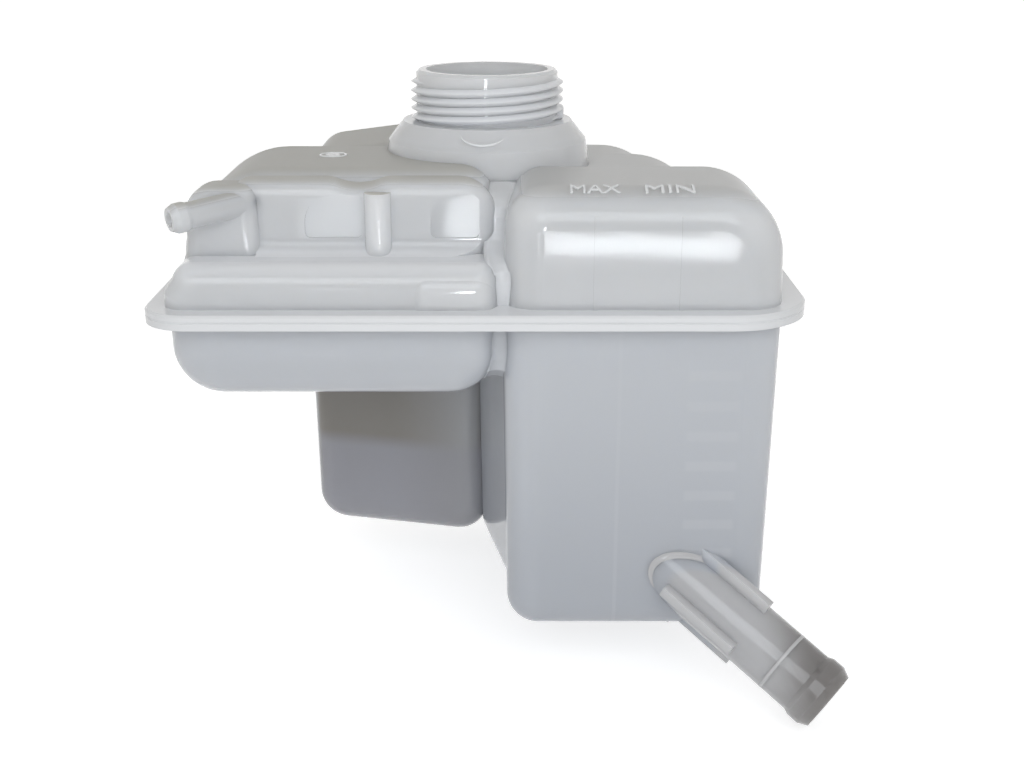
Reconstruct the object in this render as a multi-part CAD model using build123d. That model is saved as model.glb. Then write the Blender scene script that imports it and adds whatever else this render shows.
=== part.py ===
from build123d import *
import math
import os

# Sizes in millimetres. X runs to the right, Y to the rear and Z up.
# Heights and depths are measured from the weld plane, plan sizes from the neck axis.

# Wall of both mouldings
WALL = 2.8
DRAFT = 0.8
DOME_DRAFT = 2.0
INNER_FLAT = 0.7
BEVEL_ANGLE = 45.0
SKIRT = 20.0

# Plan of the front tub, the deep chamber and the rear pocket on the weld plane
LEFT_X = -99.6
RIGHT_X = 93.6
FRONT_Y = -75.2
REAR_Y = 70.0
SPLIT_X = 5.0
GROOVE_W = 1.0
CORNER_R = 12.0
TUB_CORNER_R = 7.0
BASIN_CORNER_R = 13.0
WING_Y = 20.0
SHOULDER_Y = -19.0
WAIST_X = 78.0
WAIST_Y = -4.0
TAIL_X = 69.0
TAIL_Y = 36.0
POCKET_LEFT_X = -67.7
POCKET_LEFT_Y = 12.0
POCKET_RIGHT_X = 0.6
POCKET_RIGHT_Y = -5.0
INNER_X = -4.0
INNER_Y = -45.0
PLAN_R = 9.0

# Depths of the lower moulding
TUB_DEPTH = 29.0
TUB_FLOOR_R = 17.0
TUB_DRAFT = 1.5
DEEP_DEPTH = 109.6
DEEP_FLOOR_R = 10.5
POCKET_DEPTH = 109.2
POCKET_FLOOR_R = 13.0

# Weld flange, one half on each moulding
FLANGE_W = 6.5
FLANGE_T = 2.4
FLANGE_EDGE = 0.7
WELD_GROOVE = 0.4
FLANGE_CLOSE = 6.0
EAR_LEFT_R = 15.0
EAR_RIGHT_R = 26.0
EAR_OUT = 2.0
EAR_FRONT_Y = -66.0

# Front right dome and the two level ridges down its face
DOME_TOP = 39.2
DOME_REAR_Y = -20.0
DOME_RIGHT_R = 22.0
DOME_LEFT_R = 13.0
DOME_END_R = 12.0
RIDGE_XS = (34.0, 60.5)
RIDGE_W = 0.9
RIDGE_H = 0.4
RIDGE_TOP_Z = 31.5

# Rear right domes
MID_TOP = 35.3
MID_REAR_Y = 28.0
TAIL_TOP = 32.0
CELL_OVERLAP = 2.0
CELL_END_R = 11.0
CELL_RIGHT_R = 26.0

# Low tier all round the upper moulding, with a raised panel on its front
TIER_TOP = 16.0
TIER_R = 6.2
TIER_DRAFT = 3.0
HEEL_TOP = 15.0
PLINTH_IN = 0.4
PANEL_LEFT_X = -24.4
PANEL_TOP = 14.0
PANEL_H = 0.8

# Stepped front left: the hollow flank, the upper tier and the dome behind it
FLANK_START_Z = 7.0
FLANK_TOP_Z = 22.0
FLANK_IN = 5.5
STEP_FRONT_Y = -57.0
STEP_REAR_Y = -44.0
STEP_TOP = 39.5
STEP_EDGE_R = 6.0
STEP_LEFT_X = -82.0
STEP_LEFT_R = 8.0
STEP_RIGHT_R = 12.0
DIP_X = -39.7
DIP_W = 17.0
DIP_H = 2.0
DIP_R = 8.0
CREST_TOP = 40.5
CREST_REAR_Y = 11.0
CREST_LEFT_R = 30.0
CREST_END_R = 9.0

# Cove at the foot of the upper tier, and the two sunk windows above it
COVE_R = 5.0
COVE_LEFT_X = -72.0
COVE_RIGHT_X = -1.0
WINDOW_XS = ((-56.6, -38.6), (-17.0, -1.6))
WINDOW_TOP_Z = 34.8
WINDOW_SINK = 0.7
WINDOW_R = 9.0
WINDOW_SMALL_R = 2.0

# Rear left dome, rising towards the neck
BACK_TOP_LEFT = 36.0
BACK_TOP_RIGHT = 44.5
BACK_LEFT_R = 11.0

# Saddle in front of the neck
SADDLE_TOP = 34.0
SADDLE_LEFT_X = -25.0
SADDLE_RIGHT_X = 34.0
SADDLE_FRONT_Y = -46.0
SADDLE_R = 8.0

# Filler neck
RIM_Z = 67.6
NECK_R = 24.3
BORE_R = 20.9
LIP = 1.0
COLLAR_Z = 50.6
COLLAR_R = 29.0
CONE_Z = 44.0
CONE_R = 34.2
BASE_Z = 20.0
BASE_R = 38.0

# Vent spigot, the boss it leaves from and the half-round rib beside it
VENT_X = -76.5
VENT_Z = 32.0
VENT_R = 4.2
VENT_BORE_R = 2.4
VENT_LENGTH = 23.5
VENT_BEAD_R = 4.7
VENT_BEAD_L = 6.0
VENT_TURN = 34.0
VENT_DIP = 6.0
VENT_ROOT = 6.0
BOSS_RIGHT_X = -70.0
BOSS_FRONT_Y = -60.5
BOSS_TOP = 37.8
BOSS_R = 5.0
BOSS_LEFT_R = 9.5
RIB_X = -33.5
RIB_R = 4.2
RIB_TOP_Z = 35.5

# Outlet spigot with its four ribs
OUTLET_X = 73.3
OUTLET_Z = -96.2
OUTLET_R = 10.9
OUTLET_BORE_R = 8.5
OUTLET_LENGTH = 50.5
OUTLET_BEAD_R = 11.7
OUTLET_BEAD_L = 9.0
OUTLET_TURN = 34.5
OUTLET_DIP = 29.0
OUTLET_ROOT = 22.0
OUTLET_RIB_L = 18.0
OUTLET_RIB_H = 3.6
OUTLET_RIB_W = 3.2

# Shape of the bead at the end of either spigot, as parts of its length
BEAD_RISE = 0.2
BEAD_LAND = 0.65


def corner(face, point, radius, inset):
    """One corner of an outline: round outside, a flat that leaves the same wall inside."""
    vertex = face.vertices().sort_by_distance(Vector(*point))[0]
    if inset >= WALL:
        return chamfer(vertex, INNER_FLAT * radius)
    return fillet(vertex, radius)


def outline_face(points, radii, inset):
    """A closed outline with a radius at each corner, drawn in by the inset.
    A negative radius marks a re-entrant corner, which is round inside too."""
    face = make_face(Polyline(*points, close=True))
    for point, radius in zip(points, radii):
        if radius < 0:
            face = corner(face, point, -radius, 0)
        if radius > 0:
            face = corner(face, point, radius, inset)
    if inset == 0:
        return face
    return offset(face, amount=-inset, kind=Kind.INTERSECTION)


def tub_plan(corner_r, inset):
    """Plan of the front left tub."""
    right_x = SPLIT_X - GROOVE_W / 2
    points = [(LEFT_X, FRONT_Y), (right_x, FRONT_Y), (right_x, WING_Y), (LEFT_X, WING_Y)]
    return outline_face(points, [corner_r] * len(points), inset)


def deep_plan(inset):
    """Plan of the deep chamber, stepped in towards the rear."""
    left_x = SPLIT_X + GROOVE_W / 2
    cut_y = TAIL_Y - (WAIST_X - TAIL_X)
    points = [(left_x, FRONT_Y), (RIGHT_X, FRONT_Y), (RIGHT_X, SHOULDER_Y), (WAIST_X, WAIST_Y),
              (WAIST_X, cut_y), (TAIL_X, TAIL_Y), (TAIL_X, REAR_Y), (INNER_X, REAR_Y), (INNER_X, 0),
              (left_x, INNER_Y)]
    radii = [CORNER_R, CORNER_R, PLAN_R, -PLAN_R, PLAN_R, -PLAN_R, CORNER_R, PLAN_R, PLAN_R, -PLAN_R]
    return outline_face(points, radii, inset)


def pocket_plan(inset):
    """Plan of the rear left pocket, its front wall set askew."""
    points = [(POCKET_LEFT_X, POCKET_LEFT_Y), (POCKET_RIGHT_X, POCKET_RIGHT_Y),
              (POCKET_RIGHT_X, REAR_Y), (POCKET_LEFT_X, REAR_Y)]
    return outline_face(points, [PLAN_R, PLAN_R, PLAN_R, CORNER_R], inset)


def rounded(edges, radius, inset):
    """Edges of a solid: round outside, a flat that leaves the same wall inside."""
    if inset >= WALL:
        return chamfer(edges, INNER_FLAT * (radius - inset))
    return fillet(edges, radius)


def bevelled(face, height, draft, end_r, inset):
    """A chamber drawn up from its plan with draft, a bevel round its closed end."""
    bevel = INNER_FLAT * (end_r - inset)
    body = extrude(face, amount=height - inset - bevel, taper=draft)
    return body + extrude(body.faces().sort_by(Axis.Z)[-1], amount=bevel, taper=BEVEL_ANGLE)


def drawn(face, height, draft, end_r, inset):
    """A chamber drawn up from its plan with draft, its closed end rounded outside and bevelled inside."""
    if inset >= WALL:
        return bevelled(face, height, draft, end_r, inset)
    body = extrude(face, amount=height - inset, taper=draft)
    return fillet(body.faces().sort_by(Axis.Z)[-1].edges(), end_r)


def lower_cells(inset):
    """The three chambers of the lower moulding: built upwards, then turned over in the weld plane."""
    tub = drawn(tub_plan(BASIN_CORNER_R, inset), TUB_DEPTH, TUB_DRAFT, TUB_FLOOR_R, inset)
    deep = drawn(deep_plan(inset), DEEP_DEPTH, DRAFT, DEEP_FLOOR_R, inset)
    pocket = drawn(pocket_plan(inset), POCKET_DEPTH, DRAFT, POCKET_FLOOR_R, inset)
    return mirror(tub + deep + pocket, about=Plane.XY)


def wall_x(base_x, z, inward):
    """Side wall of a dome, drawn in by the draft angle above the weld plane."""
    return base_x + inward * z * math.tan(math.radians(DOME_DRAFT))


def section(left_x, right_x, top_left, top_right, left_r, right_r, inset):
    """Cross-section of a dome: two drafted walls and a top, rounded at both shoulders."""
    points = [(wall_x(left_x, -SKIRT, 1), -SKIRT), (wall_x(left_x, top_left, 1), top_left),
              (wall_x(right_x, top_right, -1), top_right), (wall_x(right_x, -SKIRT, -1), -SKIRT)]
    return outline_face(points, [0, left_r, right_r, 0], inset)


def flank_x(z):
    """Left wall of the front left tiers: upright, then hollowed inwards up to the flank top."""
    radius = (FLANK_IN ** 2 + (FLANK_TOP_Z - FLANK_START_Z) ** 2) / (2 * FLANK_IN)
    if z <= FLANK_START_Z:
        return LEFT_X
    below = FLANK_TOP_Z - min(z, FLANK_TOP_Z)
    return LEFT_X + FLANK_IN - radius + math.sqrt(radius ** 2 - below ** 2)


def flank_section(right_x, top, left_r, right_r, inset):
    """Cross-section of a front left tier: a foot, the hollow flank, an upright wall and a top."""
    end_z = min(top, FLANK_TOP_Z)
    mid_z = (FLANK_START_Z + end_z) / 2
    base_left = (LEFT_X, -SKIRT)
    foot = (LEFT_X, FLANK_START_Z)
    middle = (flank_x(mid_z), mid_z)
    end = (flank_x(end_z), end_z)
    top_left = (flank_x(top), top)
    top_right = (wall_x(right_x, top, -1), top)
    base_right = (wall_x(right_x, -SKIRT, -1), -SKIRT)
    edges = [Line(base_left, foot)]
    if inset >= WALL:
        edges += [Line(foot, middle), Line(middle, end)]
    else:
        edges += [ThreePointArc(foot, middle, end)]
    if top > end_z:
        edges += [Line(end, top_left)]
    edges += [Line(top_left, top_right), Line(top_right, base_right), Line(base_right, base_left)]
    face = make_face(edges)
    face = corner(face, top_left, left_r, inset)
    face = corner(face, top_right, right_r, inset)
    if inset == 0:
        return face
    return offset(face, amount=-inset, kind=Kind.INTERSECTION)


def dipped(face, inset):
    """Shallow hollow across the top of the upper tier, with soft shoulders."""
    top = STEP_TOP - inset
    radius = ((DIP_W / 2) ** 2 + DIP_H ** 2) / (2 * DIP_H)
    if inset >= WALL:
        return face - Pos(DIP_X, top) * Rectangle(DIP_W, 2 * DIP_H)
    face -= Pos(DIP_X, top - DIP_H + radius) * Circle(radius)
    for side in (-1, 1):
        face = corner(face, (DIP_X + side * DIP_W / 2, top), DIP_R, 0)
    return face


def vault(face, front_y, rear_y, end_r, inset):
    """A dome: its cross-section carried from front to rear, rounded over at both ends."""
    front = front_y + inset
    rear = rear_y - inset
    body = extrude(Plane.XZ.offset(-rear) * face, amount=rear - front)
    ends = body.faces().filter_by(Axis.Y).sort_by(Axis.Y)
    rim = ends[0].edges() + ends[-1].edges()
    rim = rim.filter_by(lambda edge: edge.center().Z > -SKIRT / 2)
    body = rounded(rim, end_r, inset)
    return split(body, bisect_by=Plane.XY, keep=Keep.TOP)


def neck_base(inset):
    """The round cell under the filler neck, coned in to the collar."""
    profile = Polyline((0, 0), (BASE_R - inset, 0), (BASE_R - inset, BASE_Z),
                       (CONE_R - inset, CONE_Z - inset / 2), (COLLAR_R - inset, COLLAR_Z - inset),
                       (0, COLLAR_Z - inset), close=True)
    return revolve(Plane.XZ * make_face(profile), Axis.Z)


def upper_cells(inset):
    """All the domes and tiers of the upper moulding, drawn in by the inset."""
    tub_right_x = SPLIT_X - GROOVE_W / 2
    deep_left_x = SPLIT_X + GROOVE_W / 2
    dome_face = section(deep_left_x, RIGHT_X, DOME_TOP, DOME_TOP, DOME_LEFT_R, DOME_RIGHT_R, inset)
    middle_face = section(-BORE_R, WAIST_X, MID_TOP, MID_TOP, CELL_END_R, CELL_RIGHT_R, inset)
    tail_face = section(-CELL_OVERLAP / 2, TAIL_X, TAIL_TOP, TAIL_TOP, CELL_END_R, CELL_RIGHT_R, inset)
    back_right_x = CELL_OVERLAP / 2
    back_tops = (BACK_TOP_LEFT, BACK_TOP_RIGHT)
    back_face = section(POCKET_LEFT_X, back_right_x, *back_tops, BACK_LEFT_R, CELL_END_R, inset)
    crest_face = section(LEFT_X, tub_right_x, CREST_TOP, CREST_TOP, CREST_LEFT_R, STEP_RIGHT_R, inset)
    saddle_face = section(SADDLE_LEFT_X, SADDLE_RIGHT_X, SADDLE_TOP, SADDLE_TOP, SADDLE_R, SADDLE_R, inset)
    step_face = section(STEP_LEFT_X, tub_right_x, STEP_TOP, STEP_TOP, STEP_LEFT_R, STEP_RIGHT_R, inset)
    step_face = dipped(step_face, inset)
    boss_face = flank_section(BOSS_RIGHT_X, BOSS_TOP, BOSS_LEFT_R, BOSS_R, inset)
    tier_face = flank_section(tub_right_x, TIER_TOP, TIER_R, TIER_R, inset)
    body = bevelled(deep_plan(inset + PLINTH_IN), TIER_TOP, TIER_DRAFT, TIER_R, inset)
    body += bevelled(pocket_plan(inset + PLINTH_IN), HEEL_TOP, TIER_DRAFT, TIER_R, inset)
    body += vault(tier_face, FRONT_Y, WING_Y, TUB_CORNER_R, inset)
    body += vault(step_face, STEP_FRONT_Y, STEP_REAR_Y, STEP_EDGE_R, inset)
    body += vault(boss_face, BOSS_FRONT_Y, STEP_REAR_Y, BOSS_R, inset)
    body += vault(crest_face, STEP_REAR_Y - CELL_OVERLAP, CREST_REAR_Y, CREST_END_R, inset)
    body += vault(saddle_face, SADDLE_FRONT_Y, 0, SADDLE_R, inset)
    body += neck_base(inset)
    body += vault(dome_face, FRONT_Y, DOME_REAR_Y, DOME_END_R, inset)
    body += vault(middle_face, DOME_REAR_Y - CELL_OVERLAP, MID_REAR_Y, CELL_END_R, inset)
    body += vault(tail_face, MID_REAR_Y - CELL_OVERLAP, REAR_Y, CELL_END_R, inset)
    body += vault(back_face, CREST_REAR_Y - CELL_OVERLAP, REAR_Y, CELL_END_R, inset)
    return body


def step_cove():
    """Hollow fillet where the upper tier stands on the lower one, fading out at its right end."""
    top_z = TIER_TOP + COVE_R
    front_y = STEP_FRONT_Y - COVE_R
    block = Pos(0, STEP_FRONT_Y, TIER_TOP) * Box(COVE_RIGHT_X - COVE_LEFT_X, 2 * COVE_R, 2 * COVE_R)
    block = Pos((COVE_LEFT_X + COVE_RIGHT_X) / 2, 0, 0) * block
    hollow = Pos((COVE_LEFT_X + COVE_RIGHT_X) / 2, front_y, top_z) * Rot(0, 90, 0)
    block -= hollow * Cylinder(COVE_R, COVE_RIGHT_X - COVE_LEFT_X)
    plan = Polyline((COVE_LEFT_X, STEP_FRONT_Y + COVE_R), (COVE_LEFT_X, front_y),
                    (COVE_RIGHT_X - 2 * COVE_R, front_y), (COVE_RIGHT_X, STEP_FRONT_Y),
                    (COVE_RIGHT_X - COVE_R, STEP_FRONT_Y + COVE_R), close=True)
    return block & extrude(make_face(plan), amount=top_z)


def window(left_x, right_x):
    """Sunk window in the face of the upper tier: one large round corner, three small ones."""
    low_z = TIER_TOP + COVE_R
    points = [(left_x, low_z), (right_x, low_z), (right_x, WINDOW_TOP_Z), (left_x, WINDOW_TOP_Z)]
    face = outline_face(points, [WINDOW_SMALL_R, WINDOW_SMALL_R, WINDOW_SMALL_R, WINDOW_R], 0)
    return extrude(Plane.XZ.offset(-STEP_FRONT_Y - WINDOW_SINK) * face, amount=2 * WINDOW_SINK)


def half_round_rib():
    """Half-round rib up the face of the upper tier."""
    foot_z = TIER_TOP - WALL
    return Pos(RIB_X, STEP_FRONT_Y, foot_z) * extrude(Circle(RIB_R), amount=RIB_TOP_Z - foot_z)


def tier_panel():
    """Raised panel on the front of the low tier."""
    right_x = SPLIT_X - GROOVE_W / 2 - PANEL_H
    face = section(PANEL_LEFT_X, right_x, PANEL_TOP, PANEL_TOP, TIER_R, TIER_R, 0)
    return vault(face, FRONT_Y - PANEL_H, FRONT_Y + CORNER_R + TIER_R, TIER_R, 0)


def dome_ridges():
    """Two thin upright ridges that follow the face of the front right dome."""
    left_x = SPLIT_X + GROOVE_W / 2 - RIDGE_H
    top = DOME_TOP + RIDGE_H
    face = section(left_x, RIGHT_X + RIDGE_H, top, top, DOME_LEFT_R, DOME_RIGHT_R, 0)
    skin = vault(face, FRONT_Y - RIDGE_H, DOME_REAR_Y, DOME_END_R + RIDGE_H, 0)
    slab = Box(RIDGE_W, 2 * DOME_END_R, 2 * RIDGE_TOP_Z)
    return [skin & Pos(x, FRONT_Y, 0) * slab for x in RIDGE_XS]


def heading(turn, dip, side):
    """Unit direction that leaves the front turned from the X axis and dipping below level."""
    flat = math.cos(math.radians(dip))
    across = flat * math.cos(math.radians(turn))
    return Vector(side * across, -flat * math.sin(math.radians(turn)), -math.sin(math.radians(dip)))


def spigot_plane(root, direction):
    """Plane across a spigot, its Y axis up, so that ribs can stand level and upright."""
    level = direction.cross(Vector(0, 0, 1)).normalized()
    return Plane(origin=root, x_dir=level, z_dir=direction)


def spigot(radius, bead_r, length, bead_l, root):
    """A hose tail: a plain tube with a low bead and a tapered nose at its end."""
    bead_h = bead_r - radius
    start = length - bead_l
    tube = Pos(0, 0, -root) * extrude(Circle(radius), amount=root + start)
    points = [(0, start), (radius, start), (bead_r, start + BEAD_RISE * bead_l),
              (bead_r, start + BEAD_LAND * bead_l), (radius - bead_h, length), (0, length)]
    return tube + revolve(Plane.XZ * make_face(Polyline(*points, close=True)), Axis.Z)


def flange_plate():
    """Half of the weld flange: the plan of all chambers grown outwards, its notches closed up,
    with a small bevel round the weld face that leaves a groove for the weld bead."""
    left = LEFT_X - FLANGE_W
    right = RIGHT_X + EAR_OUT + FLANGE_W
    front = FRONT_Y - FLANGE_W
    rear = REAR_Y + FLANGE_W
    bridge = Pos(SPLIT_X, FRONT_Y + CORNER_R) * Rectangle(4 * CORNER_R, 2 * CORNER_R)
    ear = Pos(RIGHT_X, (EAR_FRONT_Y + SHOULDER_Y) / 2) * Rectangle(2 * EAR_OUT, SHOULDER_Y - EAR_FRONT_Y)
    outline = tub_plan(TUB_CORNER_R, 0) + deep_plan(0) + pocket_plan(0) + bridge + ear
    outline = offset(outline, amount=FLANGE_W + FLANGE_CLOSE)
    outline = offset(outline, amount=-FLANGE_CLOSE)
    ears = [EAR_LEFT_R, EAR_RIGHT_R, EAR_LEFT_R, EAR_LEFT_R]
    outline &= outline_face([(left, front), (right, front), (right, rear), (left, rear)], ears, 0)
    plate = extrude(outline, amount=FLANGE_T)
    return chamfer(plate.faces().sort_by(Axis.Z)[0].edges(), WELD_GROOVE)


def upper_shell():
    """The upper moulding: domes, tiers, flange, filler neck and vent, hollowed to the wall."""
    flange = flange_plate()
    flange = chamfer(flange.faces().sort_by(Axis.Z)[-1].edges(), FLANGE_EDGE)
    body = upper_cells(0) + flange + step_cove() + half_round_rib() + tier_panel()
    for ridge in dome_ridges():
        body += ridge
    for left_x, right_x in WINDOW_XS:
        body -= window(left_x, right_x)
    neck = Pos(0, 0, COLLAR_Z - WALL) * extrude(Circle(NECK_R), amount=RIM_Z - COLLAR_Z + WALL)
    body += chamfer(neck.edges().sort_by(Axis.Z)[-1], LIP)
    vent = spigot_plane(Vector(VENT_X, STEP_FRONT_Y, VENT_Z), heading(VENT_TURN, VENT_DIP, -1))
    body += vent * spigot(VENT_R, VENT_BEAD_R, VENT_LENGTH, VENT_BEAD_L, 0)
    body -= upper_cells(WALL)
    body -= Pos(0, 0, COLLAR_Z - 2 * WALL) * extrude(Circle(BORE_R), amount=RIM_Z)
    body -= vent * Pos(0, 0, -VENT_ROOT) * extrude(Circle(VENT_BORE_R), amount=VENT_ROOT + 2 * VENT_LENGTH)
    return body


def lower_shell():
    """The lower moulding: tub, deep chamber, pocket, flange and ribbed outlet, hollowed to the wall."""
    body = lower_cells(0) + mirror(flange_plate(), about=Plane.XY)
    wall_y = FRONT_Y - OUTLET_Z * math.tan(math.radians(DRAFT))
    outlet = spigot_plane(Vector(OUTLET_X, wall_y, OUTLET_Z), heading(OUTLET_TURN, OUTLET_DIP, 1))
    body += outlet * spigot(OUTLET_R, OUTLET_BEAD_R, OUTLET_LENGTH, OUTLET_BEAD_L, OUTLET_ROOT)
    span = 2 * (OUTLET_R + OUTLET_RIB_H)
    rib_l = OUTLET_RIB_L + OUTLET_ROOT / 2
    ribs = Box(span, OUTLET_RIB_W, rib_l) + Box(OUTLET_RIB_W, span, rib_l)
    body += outlet * Pos(0, 0, OUTLET_RIB_L - rib_l / 2) * ribs
    body -= lower_cells(WALL)
    bore_l = OUTLET_ROOT + 2 * OUTLET_LENGTH
    body -= outlet * Pos(0, 0, -OUTLET_ROOT) * extrude(Circle(OUTLET_BORE_R), amount=bore_l)
    return body


os.makedirs("parts", exist_ok=True)
place = Pos(0, 0, -RIM_Z)
for name, shell in [("upper_shell", upper_shell()), ("lower_shell", lower_shell())]:
    export_step(place * shell, "parts/" + name + ".step")
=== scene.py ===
import math

import bmesh
import bpy
import numpy as np
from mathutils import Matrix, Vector


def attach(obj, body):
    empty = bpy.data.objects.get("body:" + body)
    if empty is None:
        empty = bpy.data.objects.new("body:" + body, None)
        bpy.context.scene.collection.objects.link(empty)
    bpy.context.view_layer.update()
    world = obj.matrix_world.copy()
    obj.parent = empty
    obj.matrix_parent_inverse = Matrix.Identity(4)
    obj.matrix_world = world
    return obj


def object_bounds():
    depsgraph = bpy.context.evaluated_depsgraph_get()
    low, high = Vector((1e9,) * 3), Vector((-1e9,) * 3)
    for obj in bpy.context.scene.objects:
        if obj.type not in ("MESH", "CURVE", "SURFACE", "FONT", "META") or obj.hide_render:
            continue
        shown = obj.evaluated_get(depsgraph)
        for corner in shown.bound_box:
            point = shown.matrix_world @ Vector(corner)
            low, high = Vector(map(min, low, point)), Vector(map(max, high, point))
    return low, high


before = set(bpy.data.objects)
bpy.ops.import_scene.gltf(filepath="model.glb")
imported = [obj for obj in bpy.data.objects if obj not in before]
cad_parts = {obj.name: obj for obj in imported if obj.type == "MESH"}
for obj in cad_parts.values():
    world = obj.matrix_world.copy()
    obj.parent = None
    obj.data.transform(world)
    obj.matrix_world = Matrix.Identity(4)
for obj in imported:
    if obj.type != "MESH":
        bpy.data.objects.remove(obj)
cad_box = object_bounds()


# Upper and lower shell: the two half shells of the tank, injection moulded in natural
# polypropylene and hot-plate welded to each other at the flange. The plastic is milky and lets
# some light through. Its colour carries painted shade and painted highlights, set out below.
WELD_Z = -0.0676
MILKY = (0.930, 0.952, 0.994, 1.0)
CLOUDY = (0.910, 0.932, 0.976, 1.0)
DRIFT_SCALE = 16.0
DRIFT_DETAIL = 3.0
DRIFT_SPAN = (0.32, 0.66)
GLOSS_SCALE = 70.0
GLOSS_DETAIL = 4.0
GLOSS_LOW = 0.04
GLOSS_HIGH = 0.08
RIPPLE_SCALE = 55.0
RIPPLE_DETAIL = 2.0
RIPPLE_STRENGTH = 0.05
RIPPLE_DEPTH = 0.001
PLASTIC_IOR = 1.49
SEE_THROUGH = 0.18
SCATTER_DEPTH = 0.010
SCATTER_COLOUR = (1.0, 0.97, 0.93)
# Painted highlight: a lighter tone laid over the flange and the low ledges.
PAINTED_HIGHLIGHT_TONE = (0.925, 0.930, 0.940, 1.0)
FLANGE_OFF_WELD = (0.0027, 0.0023)
# Painted shade: a warmer, darker tone laid over the upward tops of the upper shell, most of all on
# the left.
PAINTED_SHADE_TOP = (0.580, 0.566, 0.522, 1.0)
DULL_TOP = 0.55
RIGHT_TOPS = 0.72
TOPS_FACING_UP = (0.45, 1.0)
TOPS_ABOVE_Z = (WELD_Z + 0.020, WELD_Z + 0.030)
TOPS_BELOW_Z = (-0.0215, -0.0235)
TOPS_LEFT_X = (0.012, -0.006)
# Painted shade: the lower shell is darker below the flange, and darker still down the deep chamber.
TUB_PAINTED_SHADE = (0.745, 0.772, 0.828, 1.0)
TUB_Z = (WELD_Z - 0.0022, WELD_Z - 0.0040)
DEEP_PAINTED_SHADE = (0.575, 0.600, 0.650, 1.0)
DEEP_Z = (WELD_Z - 0.010, WELD_Z - 0.110)
# Painted shadow: a dark brownish tone on the front wall of the rear pocket, behind the tub, a
# little lighter at its foot.
POCKET_PAINTED_SHADOW = (0.330, 0.312, 0.285, 1.0)
POCKET_X = (0.004, -0.004)
POCKET_Y = (-0.010, 0.006)
POCKET_Z = (WELD_Z - 0.020, WELD_Z - 0.028)
POCKET_FACING_Y = (-0.15, -0.75)
POCKET_FOOT_PAINTED_SHADOW = (0.440, 0.440, 0.480, 1.0)
POCKET_FOOT_Z = (-0.136, -0.143)
FRONT_WALL_Y = (-0.066, -0.068)
LEVEL_TONE = (0.830, 0.845, 0.885, 1.0)
LEVEL_BAR_SHOW = 0.22
LEVEL_BAR_PITCH = 0.0102
LEVEL_BAR_FIRST_Z = -0.0865
LEVEL_BAR_EDGE = (0.22, 0.10)
LEVEL_BARS_LEFT_X = (0.0630, 0.0650)
LEVEL_BARS_RIGHT_X = (0.0812, 0.0792)
LEVEL_BARS_TOP_Z = (-0.0815, -0.0825)
LEVEL_BARS_FOOT_Z = (-0.1527, -0.1517)
INNER_WALL_X = 0.0424
INNER_WALL_EDGE = (0.0009, 0.0003)
INNER_WALL_SHOW = 0.15
OUTLET_TONE = (0.640, 0.635, 0.645, 1.0)
OUTLET_Y = (-0.0765, -0.0785)
OUTLET_Z = (-0.140, -0.146)
OUTLET_END_TONE = (0.240, 0.228, 0.222, 1.0)
OUTLET_END_X = (0.086, 0.106)


def value_node(tree, operation, *values):
    """One sum, product or other step on values that are numbers or other nodes' outputs."""
    node = tree.nodes.new("ShaderNodeMath")
    node.operation = operation
    for socket, value in zip(node.inputs, values):
        if isinstance(value, (int, float)):
            socket.default_value = value
        else:
            tree.links.new(value, socket)
    return node.outputs[0]


def fade_node(tree, value, start, end):
    """A soft step: 0 up to the start, 1 from the end on, smooth between them. Each pair of values
    above, such as DEEP_Z, is a start and an end."""
    node = tree.nodes.new("ShaderNodeMapRange")
    node.interpolation_type = "SMOOTHSTEP"
    node.inputs["From Min"].default_value = start
    node.inputs["From Max"].default_value = end
    tree.links.new(value, node.inputs["Value"])
    return node.outputs["Result"]


def all_of(tree, *shares):
    """The product of several shares from 0 to 1."""
    whole = shares[0]
    for share in shares[1:]:
        whole = value_node(tree, "MULTIPLY", whole, share)
    return whole


def tint_node(tree, share, under, over):
    """One colour laid over another by a share from 0 to 1."""
    node = tree.nodes.new("ShaderNodeMix")
    node.data_type = "RGBA"
    sockets = (node.inputs[0], node.inputs[6], node.inputs[7])
    for socket, value in zip(sockets, (share, under, over)):
        if isinstance(value, tuple):
            socket.default_value = value
        else:
            tree.links.new(value, socket)
    return node.outputs[2]


def noise_node(tree, place, scale, detail):
    """A slow cloud of values from 0 to 1 in the part's own space."""
    node = tree.nodes.new("ShaderNodeTexNoise")
    node.inputs["Scale"].default_value = scale
    node.inputs["Detail"].default_value = detail
    tree.links.new(place, node.inputs["Vector"])
    return node.outputs["Fac"]


def parts_node(tree, vector):
    """The x, y and z of a place or of a facing."""
    node = tree.nodes.new("ShaderNodeSeparateXYZ")
    tree.links.new(vector, node.inputs[0])
    return node.outputs


def facing_node(tree):
    """The x, y and z of the way that the surface faces."""
    return parts_node(tree, tree.nodes.new("ShaderNodeNewGeometry").outputs["Normal"])


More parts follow.
